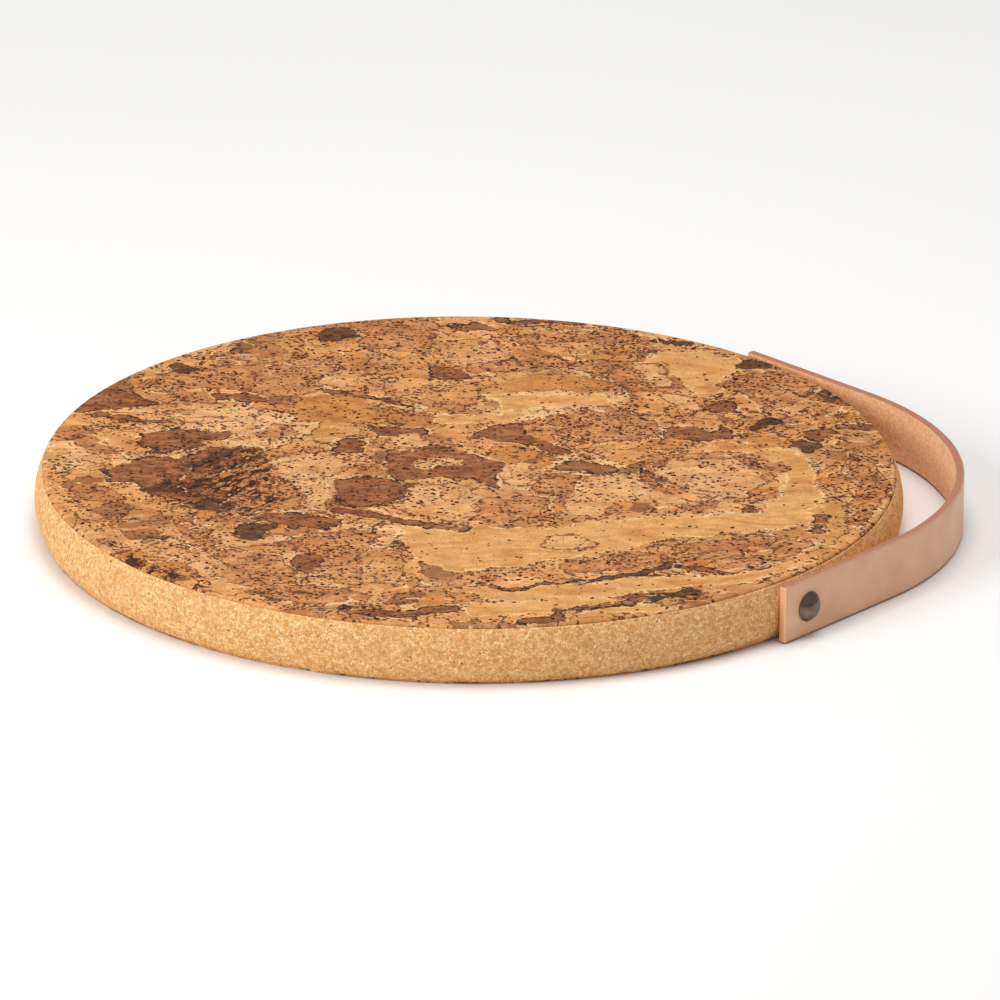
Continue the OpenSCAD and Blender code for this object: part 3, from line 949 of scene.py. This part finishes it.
def torn_outlines(r, cones):
    """The cones as real points, pushed about sideways so that no outline stays round."""
    real = r.add("GeometryNodeRealizeInstances", {"Geometry": cones})
    where = r.add("GeometryNodeInputPosition").outputs[0]
    rough = r.vector("SUBTRACT", r.noise(where, 0.9 * MM, 2, output="Color"), (0.5, 0.5, 0.5))
    push = r.vector("MULTIPLY", rough, (1.3 * MM, 1.3 * MM, 0.0))
    moved = r.add("GeometryNodeSetPosition", {"Geometry": real.outputs["Geometry"], "Offset": push})
    smooth = r.add("GeometryNodeSetShadeSmooth", {"Geometry": moved.outputs["Geometry"]})
    return smooth.outputs["Geometry"]


def fleck_tree():
    """Geometry nodes that strew ragged, very flat cones over a face."""
    tree = bpy.data.node_groups.new("strew_flecks", "GeometryNodeTree")
    socket = tree.interface.new_socket
    socket("Geometry", in_out="INPUT", socket_type="NodeSocketGeometry")
    for key, value in FLECK_NUMBERS.items():
        socket(key, in_out="INPUT", socket_type=FLOAT).default_value = value
    socket("Seed", in_out="INPUT", socket_type="NodeSocketInt").default_value = 1
    socket("Material", in_out="INPUT", socket_type="NodeSocketMaterial")
    socket("Geometry", in_out="OUTPUT", socket_type="NodeSocketGeometry")
    r = Recipe(tree)
    given = r.add("NodeGroupInput").outputs
    flecks = torn_outlines(r, flat_cones(r, given))
    done = r.add("GeometryNodeSetMaterial", {"Geometry": flecks, "Material": given["Material"]})
    r.feed(r.add("NodeGroupOutput").inputs["Geometry"], done.outputs["Geometry"])
    return tree


def grow(name, carrier, tree, values):
    """Runs a geometry tree on a copy of a mesh and keeps the result as a plain mesh of its own."""
    source = bpy.data.objects.new(name + "_source", carrier)
    scene.collection.objects.link(source)
    modifier = source.modifiers.new("nodes", "NODES")
    modifier.node_group = tree
    for item in tree.interface.items_tree:
        if item.in_out == "INPUT" and item.name in values:
            modifier[item.identifier] = values[item.name]
    bpy.context.view_layer.update()
    mesh = bpy.data.meshes.new_from_object(source.evaluated_get(bpy.context.evaluated_depsgraph_get()))
    bpy.data.objects.remove(source)
    piece = bpy.data.objects.new(name, mesh)
    scene.collection.objects.link(piece)
    print(f"{name}: {len(mesh.polygons)} faces")
    return piece


# %% Strew the flecks
fleck_nodes = fleck_tree()


def fleck_carrier(piece, rings, height):
    """Only the flat face of a veneer, a little inside its rim, at a height."""
    flat_points = 1 + 3 * (rings - 1) * rings
    source = piece.data
    points = [(v.co.x, v.co.y, height) for v in source.vertices[:flat_points]]
    faces = [tuple(p.vertices) for p in source.polygons if max(p.vertices) < flat_points]
    mesh = bpy.data.meshes.new(piece.name + "_face")
    mesh.from_pydata(points, [], faces)
    density = mesh.attributes.new("fleck_density", "FLOAT", "POINT")
    values = [source.attributes["fleck_density"].data[i].value for i in range(flat_points)]
    density.data.foreach_set("value", values)
    return mesh


for name, piece, rings, height, over, per_area in (
    ("top_flecks", top_veneer, TOP_RINGS, board_t - FLECK_SINK, 0.0, 480000.0),
    ("base_flecks", base_veneer, BASE_RINGS, FLECK_SINK, math.pi, 300000.0),
):
    carrier = fleck_carrier(piece, rings, height)
    values = dict(FLECK_NUMBERS)
    values.update({"Per square metre": per_area, "Turn over": over, "Seed": 4, "Material": fleck_stuff})
    flecks = grow(name, carrier, fleck_nodes, values)
    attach(flecks, "board")

# %% [markdown]
# ## Pressed cork core
# The core is agglomerated cork: granules of a millimetre or two, pressed and glued, then turned to a
# rounded edge. Up close the cut granules are flat and the joints between them are small pits. The edge
# is a turned profile with enough points to carry those pits as real relief, and the material colours
# each granule from the same kind of cells.

# %% Pressed cork material
GRANULE = 0.8


def pressed_cork():
    """Small granules in golden tones, some larger dull ones and a few dark bits."""
    material, r = new_material("pressed_cork")
    place = r.millimetres()
    loose = r.shift(place, 0.9, 0.4)
    tones = [(0, "d69a5a"), (0.3, "ecb170"), (0.6, "f5bf7f"), (0.85, "facb8f"), (1, "fdd8a2")]
    colour = r.ramp(picked(r, r.cells(loose, GRANULE))[0], tones)
    coarse = r.cells(r.shift(place, 1.5, 0.6), 1.7)
    chosen = picked(r, coarse)
    colour = r.mix(r.remap(chosen[0], 0.84, 0.86, 0, 0.4), colour, "c98f55")
    bits = r.remap(coarse.outputs["Distance"], 0.16, 0.22, 1, 0)
    bits = r.times(bits, r.remap(chosen[1], 0.93, 0.94))
    colour = r.mix(bits, colour, "6b4227")
    joints = r.cells(loose, GRANULE, "DISTANCE_TO_EDGE").outputs["Distance"]
    joint = r.remap(joints, 0.02, 0.14, 1, 0)
    colour = r.mix(r.times(joint, 0.4), colour, "b67c47")
    grain = use_group(r, grain_group, {"Place": place, "Size": 0.5, "Contrast": 0.14})
    colour = r.shaded(colour, grain["Shade"])
    height = r.math("SUBTRACT", grain["Height"], r.times(joint, 1.5))
    return finish_material(r, material, colour, 0.85, height, 0.6, 0.16, Specular_IOR_Level=0.2)


core_stuff = pressed_cork()

# %% Core with its rounded, pitted edge
CORE_TURNS = 1800
CORE_STEPS = 32
PIT = 0.1 * MM
PIT_SIZE = 1.2 * MM
PIT_WIDTH = 0.35


def granule_relief(point):
    """How far the edge is sunk at a point: deepest where two granules meet."""
    near, far = noise.voronoi(Vector(point) / PIT_SIZE)[0][:2]
    return PIT * max(0.0, 1 - (far - near) / PIT_WIDTH)


def turned_core():
    """The core: its rounded edge with the pits, closed by two flat faces."""
    turn = np.arange(CORE_TURNS) * (2 * math.pi / CORE_TURNS)
    points, faces = [], []
    for step in range(CORE_STEPS + 1):
        z = core_z[0] + (core_z[1] - core_z[0]) * step / CORE_STEPS
        radius = edge_radius(z)
        border = step in (0, CORE_STEPS)
        for a in turn:
            x, y = math.cos(a), math.sin(a)
            sunk = 0 if border else granule_relief((x * radius, y * radius, z))
            points.append((x * (radius - sunk), y * (radius - sunk), z))
    for step in range(CORE_STEPS):
        for i in range(CORE_TURNS):
            j = (i + 1) % CORE_TURNS
            a, b = step * CORE_TURNS, (step + 1) * CORE_TURNS
            faces.append((a + i, a + j, b + j, b + i))
    for step, z in ((0, core_z[0]), (CORE_STEPS, core_z[1])):
        centre = len(points)
        points.append((0, 0, z))
        ring = [step * CORE_TURNS + i for i in range(CORE_TURNS)]
        for i in range(CORE_TURNS):
            pair = (ring[i], ring[(i + 1) % CORE_TURNS])
            faces.append((centre, *(pair[::-1] if step == 0 else pair)))
    return new_piece("pressed_core", points, faces, core_stuff)


core = turned_core()
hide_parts("cork_core")
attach(core, "board")

# %% [markdown]
# ## Leather strap
# One strap of thick, undyed, vegetable-tanned leather: the smooth grain side faces out, the suede-like
# flesh side faces the board, and the cut edges show the fibres. It is a rounded section carried along
# the strap's path: straight, one arc, straight. Each point also keeps its place in the flat strap (along, up
# and across), so that the pattern follows the leather round its bend.

# %% Leather material


def strap_leather():
    """Skin outside, flesh inside and fibres on the cuts, by the place in the flat strap."""
    material, r = new_material("strap_leather")
    flat = r.attribute("strap_place", "Vector")
    place = r.vector("SCALE", flat, 1 / MM)
    axes = r.add("ShaderNodeSeparateXYZ", {"Vector": place}).outputs
    along, up, through = axes[0], axes[1], axes[2]
    cloud = r.noise(place, 14, 4)
    grain = use_group(r, grain_group, {"Place": place, "Size": 0.6, "Contrast": 0.05})
    skin = r.ramp(cloud, [(0.3, "dba27c"), (0.5, "e3ad87"), (0.7, "e9b592")])
    streaks = use_group(r, scratch_group, {"Place": place, "Stretch": (0.06, 1.0, 1.0), "Amount": 0.12})
    skin = r.mix(streaks["Scratch"], skin, "b98260")
    fibre = r.noise(r.shift(place, 2, 0.8), 1.1, 5)
    flesh = r.ramp(fibre, [(0.3, "d69c70"), (0.5, "ecb68a"), (0.72, "f8c9a2")])
    cut_fibre = r.noise(r.vector("MULTIPLY", place, (1, 1, 2.2)), 0.45, 4)
    cut = r.ramp(cut_fibre, [(0.32, "8a5040"), (0.52, "ab7156"), (0.72, "c99679")])
    end_cut = r.ramp(cut_fibre, [(0.32, "cb8357"), (0.52, "e9a97a"), (0.72, "f6c59b")])
    inside = r.remap(through, -0.9, -1.25)
    edge = r.remap(r.math("ABSOLUTE", up), HALF_W / MM - 0.35, HALF_W / MM - 0.1)
    end = r.remap(r.math("ABSOLUTE", along), HALF_LENGTH / MM - 0.25, HALF_LENGTH / MM - 0.05)
    colour = r.mix(inside, skin, flesh)
    colour = r.mix(edge, colour, cut)
    colour = r.mix(end, colour, end_cut)
    on_cut = r.math("MAXIMUM", end, r.times(edge, 0.5))
    grain_line = r.times(r.remap(through, 0.9, 1.1), on_cut)
    colour = r.mix(r.times(grain_line, 0.6), colour, "efc9a8")
    raw = r.math("MAXIMUM", inside, r.math("MAXIMUM", edge, end))
    rough = r.remap(raw, 0, 1, 0.46, 0.9)
    soft = r.times(r.times(fibre, raw), 2.2)
    creases = r.times(r.noise(r.vector("MULTIPLY", place, (1, 0.5, 1)), 1.6, 3), 0.5)
    height = r.math("ADD", r.math("ADD", soft, creases), r.times(grain["Height"], 0.35))
    return finish_material(r, material, colour, rough, height, 0.3, 0.12)


# %% Strap path and section
HALF_W = (strap_z[1] - strap_z[0]) / 2
ARC_LENGTH = arc_r * 2 * FIX_ANGLE
HALF_LENGTH = ARC_LENGTH / 2 + straight + tail
STRAP_RINGS = 260
CORNER = 0.45 * MM
CORNER_STEPS = 3
FACE_STEPS = 14
END_SOFT = 0.25 * MM
END_SHRINK = 0.22 * MM
leather = strap_leather()


def strap_point(s):
    """Middle of the strap and its outward direction at a distance s from the middle of the handle."""
    side = 1 if s >= 0 else -1
    s = abs(s)
    if s <= ARC_LENGTH / 2:
        out = Vector((math.cos(s / arc_r), side * math.sin(s / arc_r)))
        return Vector((arc_x, 0)) + out * arc_r, out
    out = Vector((math.cos(FIX_ANGLE), side * math.sin(FIX_ANGLE)))
    along = Vector((-math.sin(FIX_ANGLE), side * math.cos(FIX_ANGLE)))
    return Vector((arc_x, 0)) + out * arc_r + along * (s - ARC_LENGTH / 2), out


def strap_section():
    """The strap's section as (across, up) points: two broad faces and four rounded corners."""
    section = []
    half_t = strap_t / 2
    for across, up, first in ((1, 1, 0), (-1, 1, 90), (-1, -1, 180), (1, -1, 270)):
        for k in range(CORNER_STEPS + 1):
            a = math.radians(first + 90 * k / CORNER_STEPS)
            x = across * (half_t - CORNER) + CORNER * math.cos(a)
            section.append((x, up * (HALF_W - CORNER) + CORNER * math.sin(a)))
        if across == up:
            section += [(half_t * share * up, up * HALF_W) for share in (0.35, -0.35)]
        else:
            steps = [1 - 2 * k / FACE_STEPS for k in range(1, FACE_STEPS)]
            section += [(across * half_t, up * HALF_W * step) for step in steps]
    return section


def strap_mesh():
    """The section carried along the path, with both ends slightly rounded and closed."""
    section = strap_section()
    count = len(section)
    stations = list(np.linspace(-HALF_LENGTH, HALF_LENGTH, STRAP_RINGS + 1))
    stations.insert(1, stations[0] + END_SOFT)
    stations.insert(-1, stations[-1] - END_SOFT)
    points, flat, faces = [], [], []
    for n, s in enumerate(stations):
        middle, out = strap_point(float(s))
        shrink = END_SHRINK if n in (0, len(stations) - 1) else 0
        for across, up in section:
            a = across * (1 - shrink / (strap_t / 2))
            u = up * (1 - shrink / HALF_W)
            place = middle + out * a
            points.append((place.x, place.y, mid_z + u))
            flat.append((s, up, across))
    for n in range(len(stations) - 1):
        for i in range(count):
            j = (i + 1) % count
            a, b = n * count, (n + 1) * count
            faces.append((a + i, a + j, b + j, b + i))
    faces.append(tuple(range(count)))
    faces.append(tuple(range(len(points) - 1, len(points) - 1 - count, -1)))
    piece = new_piece("leather_strap", points, faces, leather)
    attribute = piece.data.attributes.new("strap_place", "FLOAT_VECTOR", "POINT")
    attribute.data.foreach_set("vector", np.array(flat, np.float32).ravel())
    return piece


def face_outwards(piece):
    """Turns every face of a closed mesh to look outwards."""
    form = bmesh.new()
    form.from_mesh(piece.data)
    bmesh.ops.recalc_face_normals(form, faces=form.faces)
    form.to_mesh(piece.data)
    form.free()


strap = strap_mesh()
face_outwards(strap)
print(f"strap {HALF_LENGTH * 2:.4f} long")

# %% [markdown]
# ## Domed caps
# The caps are pressed from brass, plated nearly black and polished. Each is turned from a profile: dome,
# a small rolled lip that sits on the leather, and the hole underneath that grips the screw's head.

# %% Cap material


def dark_bronze():
    """Plated brass with a cloudy tone and hairline scratches."""
    material, r = new_material("dark_bronze")
    place = r.millimetres()
    cloud = r.noise(place, 2.5, 3)
    colour = r.ramp(cloud, [(0.3, "64544a"), (0.7, "856f60")])
    hairs = use_group(r, scratch_group, {"Place": place, "Stretch": (1.0, 1.0, 0.3), "Amount": 0.35})
    colour = r.mix(hairs["Scratch"], colour, "8c7866")
    rough = r.math("ADD", r.remap(cloud, 0.3, 0.7, 0.2, 0.28), r.times(hairs["Scratch"], 0.2))
    return finish_material(r, material, colour, rough, r.noise(place, 0.7, 2), 0.04, 0.05, Metallic=1.0)


bronze = dark_bronze()

# %% Turned caps
CAP_LIP = 0.5 * MM
ROLL_R = CAP_LIP / 2
HOLE_R = 3.25 * MM
HOLE_DEPTH = 1.85 * MM
DOME_STEPS = 14


def turned(name, profile, side, distance, material, segments=64):
    """Turns a profile of (radius, height) points about a fastener's axis, height outwards."""
    turn = np.arange(segments) * (2 * math.pi / segments)
    out = Vector((math.cos(side * FIX_ANGLE), math.sin(side * FIX_ANGLE), 0))
    level = Vector((-out.y, out.x, 0))
    base = out * distance + Vector((0, 0, mid_z))
    points, rings = [], []
    for radius, height in profile:
        if radius < 1e-6:
            rings.append([len(points)])
            points.append(base + out * height)
            continue
        rings.append(list(range(len(points), len(points) + segments)))
        spokes = [level * math.cos(a) + Vector((0, 0, math.sin(a))) for a in turn]
        points += [base + out * height + spoke * radius for spoke in spokes]
    faces = []
    for lower, upper in zip(rings, rings[1:]):
        for i in range(segments):
            j = (i + 1) % segments
            below = (lower[i % len(lower)], lower[j % len(lower)])
            above = (upper[j % len(upper)], upper[i % len(upper)])
            faces.append(tuple(dict.fromkeys(below + above)))
    piece = new_piece(name, points, faces, material)
    face_outwards(piece)
    return piece


def cap_profile():
    """The cap from the top of its dome over the rolled lip to the bottom of its hole."""
    rise = cap_h - CAP_LIP
    dome_edge = cap_r - ROLL_R
    dome_r = (dome_edge**2 + rise**2) / (2 * rise)
    widest = math.asin(dome_edge / dome_r)
    slopes = [widest * k / DOME_STEPS for k in range(DOME_STEPS + 1)]
    dome = [(dome_r * math.sin(a), cap_h - dome_r * (1 - math.cos(a))) for a in slopes]
    bends = (1.2, 0.6, 0, -0.6, -1.2)
    roll = [(dome_edge + ROLL_R * math.cos(a), ROLL_R + ROLL_R * math.sin(a)) for a in bends]
    foot = [(cap_r - 0.3 * MM, 0.0), (HOLE_R + 0.05 * MM, 0.0)]
    hole = [(HOLE_R, 0.05 * MM), (HOLE_R, HOLE_DEPTH), (0.0, HOLE_DEPTH)]
    return dome + roll + foot + hole


for name, side in (("front_cap", -1), ("rear_cap", 1)):
    cap = turned(name + "_dome", cap_profile(), side, strap_out, bronze)
    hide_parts(name)
    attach(cap, "board")

# %% [markdown]
# ## Screws and dowels
# Both hide inside, but come into view when the part is taken apart, so they get real finishes: zinc-plated
# steel and beech. Their CAD shapes are right and stay.

# %% Steel and beech


def zinc_steel():
    """Screw steel with scratches along its length."""
    material, r = new_material("zinc_steel")
    place = r.millimetres()
    hairs = use_group(r, scratch_group, {"Place": place, "Stretch": (0.4, 0.4, 1.0), "Amount": 0.5})
    colour = r.mix(hairs["Scratch"], "b9bbbd", "8f9193")
    rough = r.math("ADD", 0.32, r.times(hairs["Scratch"], 0.25))
    return finish_material(r, material, colour, rough, hairs["Scratch"], 0.05, 0.02, Metallic=1.0)


def beech():
    """Pale wood with fine rays."""
    material, r = new_material("beech")
    place = r.millimetres()
    grain = use_group(r, grain_group, {"Place": place, "Size": 0.6, "Contrast": 0.1})
    rays = r.noise(r.vector("MULTIPLY", place, (0.2, 0.2, 2.0)), 0.8, 4)
    colour = r.ramp(rays, [(0.3, "c79c6b"), (0.6, "dcb88a"), (0.8, "e6c79d")])
    return finish_material(r, material, colour, 0.6, grain["Height"], 0.2, 0.05)


for stuff, kind in ((zinc_steel(), "screw"), (beech(), "dowel")):
    for side in ("front", "rear"):
        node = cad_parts[f"{side}_{kind}"]
        node.data.materials.clear()
        node.data.materials.append(stuff)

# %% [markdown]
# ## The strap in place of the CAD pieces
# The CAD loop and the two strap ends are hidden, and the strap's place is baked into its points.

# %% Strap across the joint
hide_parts("strap_loop", "front_strap_end", "rear_strap_end")
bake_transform(strap)

# %% [markdown]
# ## Table
# A plain pale table top, which isn't part of the object. It lies a hair below the board, clear of the
# flecks on the underside, so that no two faces share a plane.

# %% Table top


def pale_table():
    """A smooth white-grey surface with a very faint cloud."""
    material, r = new_material("pale_table")
    cloud = r.noise(r.millimetres(), 400, 2)
    return finish_material(r, material, r.ramp(cloud, [(0, "ecebea"), (1, "f1f0ef")]), 0.7)


TABLE_REACH = 6.0
TABLE_GAP = 0.04 * MM
corners = [(x * TABLE_REACH, y * TABLE_REACH, -TABLE_GAP) for x, y in ((-1, -1), (1, -1), (1, 1), (-1, 1))]
table = new_piece("table_top", corners, [(0, 1, 2, 3)], pale_table(), smooth=False)
